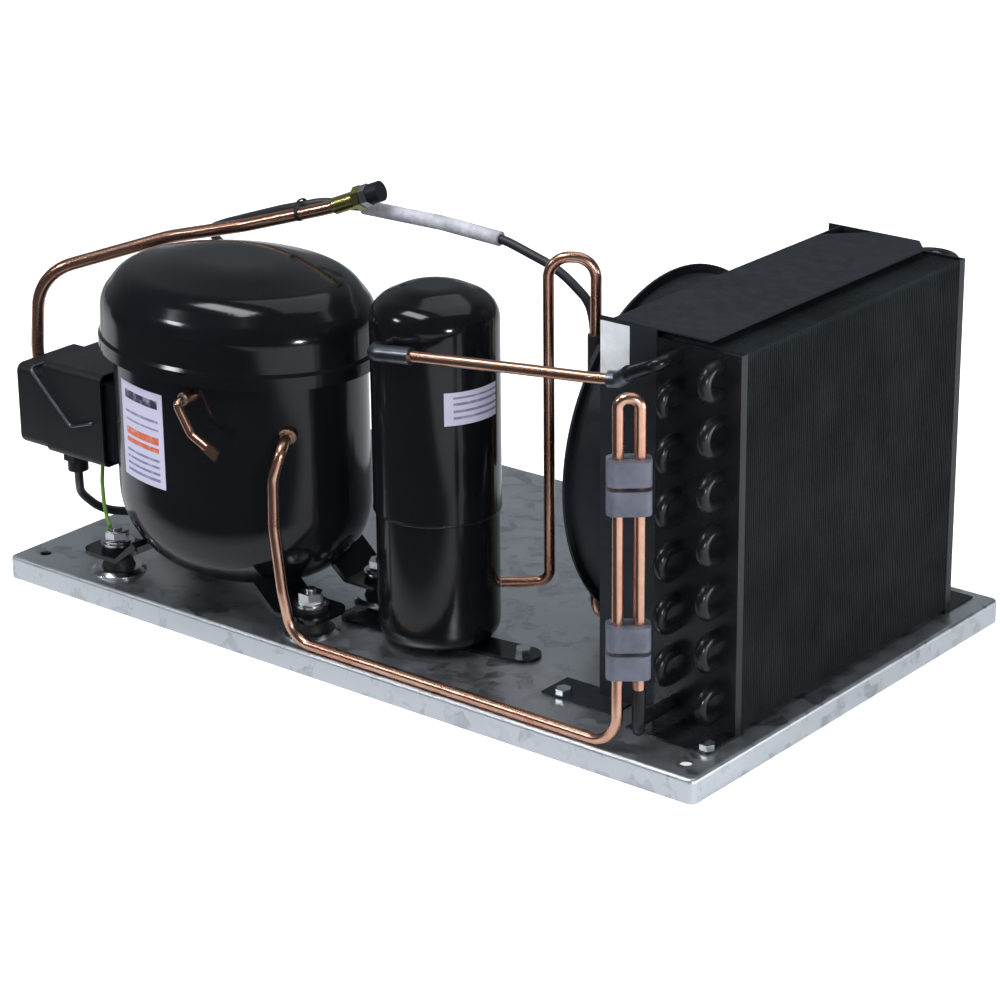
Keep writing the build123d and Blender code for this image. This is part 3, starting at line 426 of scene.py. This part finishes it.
def galvanised_sheet():
    """Zinc coat with two sizes of spangle and a little dust."""
    material = bpy.data.materials.new("galvanised_sheet")
    material.use_nodes = True
    tree = material.node_tree
    shader = tree.nodes["Principled BSDF"]
    shader.inputs["Metallic"].default_value = 1.0
    where = node(tree, "ShaderNodeTexCoord")
    large = place_group(tree, spangle, Scale=75, Spread=0.55)
    small = place_group(tree, spangle, Scale=190, Spread=0.45)
    marks = place_group(tree, handling, Patch_Scale=7, Grain_Scale=900)
    settled = place_group(tree, dust, Amount=0.03)
    tone = node(tree, "ShaderNodeMath", operation="MULTIPLY_ADD", inputs={1: 0.5})
    shade = node(tree, "ShaderNodeMath", operation="MULTIPLY_ADD", inputs={1: 0.25})
    ramp = node(tree, "ShaderNodeValToRGB")
    ramp.color_ramp.elements[0].position = 0.25
    ramp.color_ramp.elements[0].color = (0.33, 0.36, 0.40, 1)
    ramp.color_ramp.elements[1].position = 0.8
    ramp.color_ramp.elements[1].color = (0.72, 0.75, 0.79, 1)
    dusty = node(tree, "ShaderNodeMix", data_type="RGBA")
    dusty.inputs[7].default_value = (0.55, 0.54, 0.52, 1)
    gloss = node(tree, "ShaderNodeMapRange", inputs={"To Min": 0.24, "To Max": 0.44})
    bump = node(tree, "ShaderNodeBump", inputs={"Distance": 0.00006, "Strength": 0.6})
    join(
        tree,
        (where, "Object", large, "Vector"),
        (where, "Object", small, "Vector"),
        (where, "Object", marks, "Vector"),
        (where, "Object", settled, "Vector"),
        (where, "Normal", settled, "Normal"),
        (small, "Tone", tone, 0),
        (large, "Tone", tone, 2),
        (marks, "Patches", shade, 0),
        (tone, 0, shade, 2),
        (shade, 0, ramp, 0),
        (ramp, 0, dusty, 6),
        (settled, "Dust", dusty, 0),
        (dusty, 2, shader, "Base Color"),
        (tone, 0, gloss, 0),
        (gloss, 0, shader, "Roughness"),
        (large, "Ridge", bump, "Height"),
        (bump, 0, shader, "Normal"),
    )
    return material


STOCK = (0.66, 0.63, 0.80)
INK = (0.03, 0.03, 0.07)
GREY_INK = (0.22, 0.22, 0.36)
RED_INK = (0.72, 0.15, 0.06)
# One finish for each material slot of the record.
material_of = {
    "galvanised": galvanised_sheet(),
    "black_enamel": finish_of("black_enamel", (0.0045, 0.0055, 0.0070), (0.007, 0.0085, 0.0105), 0.13,
        spread=0.04, patch_scale=9, grain_scale=160, grain_height=0.00001, dust_amount=0.006,
        specular=0.42),
    "shroud_paint": finish_of("shroud_paint", (0.012, 0.0145, 0.018), (0.02, 0.024, 0.03), 0.5,
        grain_scale=700, dust_amount=0.03, specular=0.22),
    "coil_paint": finish_of("coil_paint", (0.0045, 0.006, 0.0075), (0.010, 0.0125, 0.015), 0.26,
        grain_scale=500, grain_height=0.00005, dust_amount=0.02, specular=0.4),
    "copper": finish_of("copper", (0.84, 0.51, 0.38), (0.66, 0.33, 0.23), 0.26, metallic=1.0,
        spread=0.07, patch_scale=35, grain_scale=900, dust_amount=0.03,
        scuff_color=(0.90, 0.62, 0.49)),
    "brass": finish_of("brass", (0.72, 0.64, 0.26), (0.58, 0.52, 0.20), 0.26, metallic=1.0,
        patch_scale=60, dust_amount=0.02, scuff_color=(0.86, 0.80, 0.46)),
    "zinc": finish_of("zinc_plate", (0.78, 0.79, 0.82), (0.66, 0.68, 0.70), 0.22, metallic=1.0,
        patch_scale=50, dust_amount=0.04),
    "grey_steel": finish_of("grey_steel", (0.26, 0.28, 0.31), (0.16, 0.17, 0.20), 0.34,
        metallic=1.0, patch_scale=60, dust_amount=0.05),
    "rubber": finish_of("black_rubber", (0.012, 0.012, 0.013), (0.02, 0.02, 0.021), 0.55,
        grain_scale=1200, grain_height=0.00006, dust_amount=0.06),
    "clamp_rubber": finish_of("clamp_rubber", (0.10, 0.105, 0.14), (0.15, 0.155, 0.20), 0.42,
        patch_scale=60, grain_scale=900, grain_height=0.00005, dust_amount=0.2),
    "cable_jacket": finish_of("cable_jacket", (0.018, 0.02, 0.025), (0.03, 0.033, 0.04), 0.40,
        grain_scale=1100, dust_amount=0.05),
    "white_sleeve": finish_of("white_sleeve", (0.70, 0.69, 0.74), (0.36, 0.36, 0.42), 0.5,
        patch_scale=70, grain_scale=700, grain_height=0.0001, dust_amount=0.1),
    "black_plastic": finish_of("black_plastic", (0.009, 0.0105, 0.0125), (0.014, 0.016, 0.019), 0.42,
        grain_scale=900, grain_height=0.00006, dust_amount=0.03, specular=0.35),
    "core_steel": finish_of("core_steel", (0.38, 0.39, 0.41), (0.28, 0.29, 0.30), 0.45, metallic=1.0),
    "iron": finish_of("cast_iron", (0.12, 0.12, 0.125), (0.08, 0.08, 0.085), 0.6, metallic=0.8,
        grain_height=0.0002),
    "aluminium": finish_of("aluminium_blade", (0.72, 0.73, 0.75), (0.6, 0.61, 0.63), 0.34,
        metallic=1.0, patch_scale=30),
    "label": finish_of("label_stock", STOCK, (0.60, 0.58, 0.74), 0.4,
        patch_scale=30, grain_scale=1500, dust_amount=0.04),
    "earth": finish_of("earth_green", (0.16, 0.36, 0.04), (0.12, 0.28, 0.03), 0.4, patch_scale=60),
    "ceramic": finish_of("glass_seal", (0.5, 0.48, 0.42), (0.42, 0.40, 0.34), 0.3),
}
# Finishes of pieces that only the scene has.
fin_paint = finish_of("fin_paint", (0.02, 0.025, 0.029), (0.034, 0.041, 0.047), 0.42,
    patch_scale=22, grain_scale=600, dust_amount=0.04, specular=0.3)
braze_metal = finish_of("braze_metal", (0.48, 0.46, 0.40), (0.30, 0.25, 0.20), 0.38, metallic=1.0,
    patch_scale=150, grain_scale=1200, grain_height=0.0001)
# Stock of the bare white plate on the front wall of the shroud.
white_plate_stock = finish_of("white_plate_stock", (0.90, 0.92, 0.94), (0.70, 0.72, 0.75), 0.45,
    patch_scale=40, grain_scale=1500, dust_amount=0.02)


def bars_on(name, low, high, bars, span):
    """Label stock with flat bars across it. Each bar is a start height, an end height and a colour,
    with heights as shares of the label, and span is where the bars lie along X."""
    material = bpy.data.materials.new(name)
    material.use_nodes = True
    tree = material.node_tree
    shader = tree.nodes["Principled BSDF"]
    shader.inputs["Specular IOR Level"].default_value = 0.35
    where = node(tree, "ShaderNodeTexCoord")
    split = node(tree, "ShaderNodeSeparateXYZ")
    height = node(tree, "ShaderNodeMapRange", inputs=between(low, high))
    print_ramp = node(tree, "ShaderNodeValToRGB")
    print_ramp.color_ramp.interpolation = "CONSTANT"
    steps = print_ramp.color_ramp.elements
    steps[0].color = (*STOCK, 1)
    steps.remove(steps[1])
    for start, end, color in bars:
        steps.new(start).color = (*color, 1)
        steps.new(end).color = (*STOCK, 1)
    after = node(tree, "ShaderNodeMath", operation="GREATER_THAN", inputs={1: span[0]})
    before = node(tree, "ShaderNodeMath", operation="LESS_THAN", inputs={1: span[1]})
    inside = node(tree, "ShaderNodeMath", operation="MULTIPLY")
    worn = node(tree, "ShaderNodeMath", operation="MULTIPLY")
    faded = node(tree, "ShaderNodeMapRange", inputs={**between(0.3, 0.5), "To Min": 0.45})
    marks = place_group(tree, handling, Patch_Scale=160, Grain_Scale=1500)
    printed = node(tree, "ShaderNodeMix", data_type="RGBA")
    printed.inputs[6].default_value = (*STOCK, 1)
    rough = node(tree, "ShaderNodeMapRange", inputs={"To Min": 0.34, "To Max": 0.5})
    join(
        tree,
        (where, "Object", split, 0),
        (where, "Object", marks, "Vector"),
        (split, "Z", height, 0),
        (height, 0, print_ramp, 0),
        (split, "X", after, 0),
        (split, "X", before, 0),
        (after, 0, inside, 0),
        (before, 0, inside, 1),
        (marks, "Patches", faded, 0),
        (inside, 0, worn, 0),
        (faded, 0, worn, 1),
        (worn, 0, printed, 0),
        (print_ramp, 0, printed, 7),
        (printed, 2, shader, "Base Color"),
        (marks, "Patches", rough, 0),
        (rough, 0, shader, "Roughness"),
    )
    return material


# Bars from the bottom of each label to its top.
COMPRESSOR_BARS = [
    (0.06, 0.09, GREY_INK),
    (0.13, 0.16, GREY_INK),
    (0.20, 0.23, GREY_INK),
    (0.27, 0.30, GREY_INK),
    (0.37, 0.42, RED_INK),
    (0.45, 0.53, RED_INK),
    (0.60, 0.62, GREY_INK),
    (0.68, 0.71, GREY_INK),
    (0.83, 0.92, INK),
]
RECEIVER_BARS = [
    (0.18, 0.26, GREY_INK),
    (0.38, 0.46, GREY_INK),
    (0.60, 0.68, GREY_INK),
    (0.80, 0.86, GREY_INK),
]


def print_label(name, bars, left, right):
    """Bars on a label of the solids, between two shares of its length along X."""
    low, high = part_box(name)
    length = high.x - low.x
    span = (low.x + left * length, low.x + right * length)
    nodes[name].data.materials[0] = bars_on(name + "_print", low.z, high.z, bars, span)


slot_of = {s["node"]: s["material_slot"] for s in frame["record"]["subparts"]}
for name, part in nodes.items():
    part.data.materials.clear()
    part.data.materials.append(material_of[slot_of[name]])
print_label("compressor_label", COMPRESSOR_BARS, 0.12, 0.90)
print_label("receiver_label", RECEIVER_BARS, 0.35, 1)

# ---- helpers for pieces -----------------------------------------------------------------------

SIDES_PER_RIPPLE = 4  # sides of a ring for each swell of a weld


def settle(piece, name, slot, angle=30, material=None):
    """Names a finished piece, fixes its place in its mesh, shades it and lets it ride the frame."""
    deselect()
    piece.select_set(True)
    bpy.context.view_layer.objects.active = piece
    bpy.ops.object.transform_apply(location=True, rotation=True, scale=True)
    bpy.ops.object.shade_smooth_by_angle(angle=math.radians(angle))
    piece.name = name
    piece.data.name = name
    piece.data.materials.clear()
    piece.data.materials.append(material or material_of[slot])
    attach(piece, "frame")


def apply_modifiers(piece):
    deselect()
    piece.select_set(True)
    bpy.context.view_layer.objects.active = piece
    for modifier in list(piece.modifiers):
        bpy.ops.object.modifier_apply(modifier=modifier.name)


def joined(pieces):
    """One object from several."""
    deselect()
    for piece in pieces:
        piece.select_set(True)
    bpy.context.view_layer.objects.active = pieces[0]
    bpy.ops.object.join()
    return bpy.context.object


def round_band(name, centre, radius, section, slot, along=(0, 0, 1), across=(1, 0, 0), squeeze=1.0,
        width=1.0, ripple=0.0, sides=96, material=None):
    """A ring about the axis along, narrowed by squeeze at right angles to across. The section is
    stretched by width along the axis, and a ripple makes the uneven surface of a weld."""
    up = Vector(along).normalized()
    side = (Vector(across) - up * up.dot(Vector(across))).normalized()
    deselect()
    bpy.ops.mesh.primitive_torus_add(
        major_segments=sides, minor_segments=12, major_radius=radius, minor_radius=section,
    )
    band = bpy.context.object
    for vertex in band.data.vertices:
        core = Vector((vertex.co.x, vertex.co.y, 0)).normalized() * radius
        phase = math.atan2(vertex.co.y, vertex.co.x) * sides / SIDES_PER_RIPPLE
        swell = 1 + ripple * math.sin(phase)
        vertex.co = core + (vertex.co - core) * swell
        vertex.co.y *= squeeze
        vertex.co.z *= width
    turned = Matrix((side, up.cross(side), up)).transposed().to_4x4()
    band.matrix_world = Matrix.Translation(Vector(centre)) @ turned
    settle(band, name, slot, material=material)


def flat_plate(name, low, high, slot, material=None):
    """A thin rectangular plate between two corners."""
    low, high = Vector(low), Vector(high)
    deselect()
    bpy.ops.mesh.primitive_cube_add(size=1, location=(low + high) / 2)
    plate = bpy.context.object
    plate.scale = high - low
    settle(plate, name, slot, material=material)


# ---- fin pack ----------------------------------------------------------------------------------

FIN_PITCH = 2.3 * MM
FIN_SHEET = 0.22 * MM
FIN_WAVES = 8
FIN_LEVELS = 7
ZIGZAG = 0.45 * MM  # how far each fold stands off the fin's middle
UNEVEN = 0.28 * MM  # how far the long edges stray
END_GAP = 0.6 * MM  # from the first and last fin to the end of the pack


def one_fin(low, high, seed):
    """A corrugated fin: a thin sheet whose plan is a shallow zigzag, with slightly uneven edges."""
    random.seed(seed)
    middle = (low + high) / 2
    length = high.x - low.x
    deselect()
    bpy.ops.mesh.primitive_grid_add(
        x_subdivisions=FIN_WAVES, y_subdivisions=FIN_LEVELS, size=1,
        location=(middle.x, low.y, middle.z), rotation=(math.pi / 2, 0, 0),
    )
    fin = bpy.context.object
    fin.scale = (length, high.z - low.z, 1)
    bpy.ops.object.transform_apply(location=False, rotation=False, scale=True)
    for vertex in fin.data.vertices:
        column = round((vertex.co.x / length + 0.5) * FIN_WAVES)
        vertex.co.z += ZIGZAG if column % 2 else -ZIGZAG
        if column in (0, FIN_WAVES):
            vertex.co.z += random.uniform(-UNEVEN, UNEVEN)
    sheet = fin.modifiers.new("sheet", "SOLIDIFY")
    sheet.thickness = FIN_SHEET
    sheet.offset = 0
    apply_modifiers(fin)
    return fin


def pack_fins():
    """The dense pack of fins, which takes the place of the few flat fins of the solids."""
    low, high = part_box("condenser_fins")
    count = int((high.y - low.y) / FIN_PITCH)
    pitch = (high.y - low.y - 2 * END_GAP) / count
    fins = []
    for step in range(count + 1):
        fin = one_fin(low, high, step)
        fin.location.y = low.y + END_GAP + step * pitch
        fins.append(fin)
    fin_pack = joined(fins)
    settle(fin_pack, "fin_pack", "coil_paint", angle=10, material=fin_paint)
    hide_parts("condenser_fins")


# ---- welds, braze metal, tie and white plate ----------------------------------------------------

def weld_shells():
    """Weld beads in the corner under each upper shell."""
    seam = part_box("compressor_upper_shell")[0].z
    low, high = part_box("compressor_lower_shell")
    middle = (low + high) / 2
    length, width = high.x - low.x, high.y - low.y
    round_band("shell_weld", (middle.x, middle.y, seam), length / 2 + 0.8 * MM, 1.7 * MM,
        "black_enamel", squeeze=width / length, ripple=0.12, sides=360)
    low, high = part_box("receiver_upper_shell")
    middle = (low + high) / 2
    round_band("receiver_weld", (middle.x, middle.y, low.z), (high.x - low.x) / 2 - 1.1 * MM,
        1.5 * MM, "black_enamel", ripple=0.12, sides=240)


WALL_FACE = -124.8  # front face of the shroud's front wall
WHITE_PLATE_LOW = Vector((195.5, WALL_FACE - 0.4, 253)) * MM
WHITE_PLATE_HIGH = Vector((219.5, WALL_FACE + 0.1, 292)) * MM


def add_white_plate():
    """A bare white plate on the front wall of the shroud."""
    flat_plate("shroud_white_plate", WHITE_PLATE_LOW, WHITE_PLATE_HIGH, "label", material=white_plate_stock)


# Middles of the suction line and of the fan lead where the band holds them, and the line's way.
TUBE_AT = Vector((-146, -47.3, 288.5)) * MM
LEAD_AT = Vector((-146, -39.5, 293.3)) * MM
TUBE_WAY = (76, 16.7, 24.1)


def tie_lead():
    """The band that holds the fan lead to the suction line."""
    round_band("lead_tie", (TUBE_AT + LEAD_AT) / 2, 9.9 * MM, 0.7 * MM, "black_plastic",
        along=TUBE_WAY, across=LEAD_AT - TUBE_AT, squeeze=0.64, width=2.4, sides=64)


# Where each line enters its stub or the valve: the place, the line's way and the ring's radius.
BRAZED = {
    "discharge": ((-49, -171, 169), (6.1, -12.2, -3.3), 4.5),
    "suction": ((-207, -52, 148), (-5.3, 12.1, -4.5), 5.5),
    "process": ((-111, -212, 195.5), (0, -1, 0), 3.7),
    "valve": ((-114, -40.3, 298.6), (10, 2.2, 4.2), 5.4),
}


def braze_joints():
    """A ring of braze metal at each joint."""
    for place, (spot, along, radius) in BRAZED.items():
        round_band("braze_" + place, Vector(spot) * MM, radius * MM, 1.1 * MM, "brass",
            along=along, ripple=0.15, sides=48, material=braze_metal)


pack_fins()
weld_shells()
add_white_plate()
tie_lead()
braze_joints()
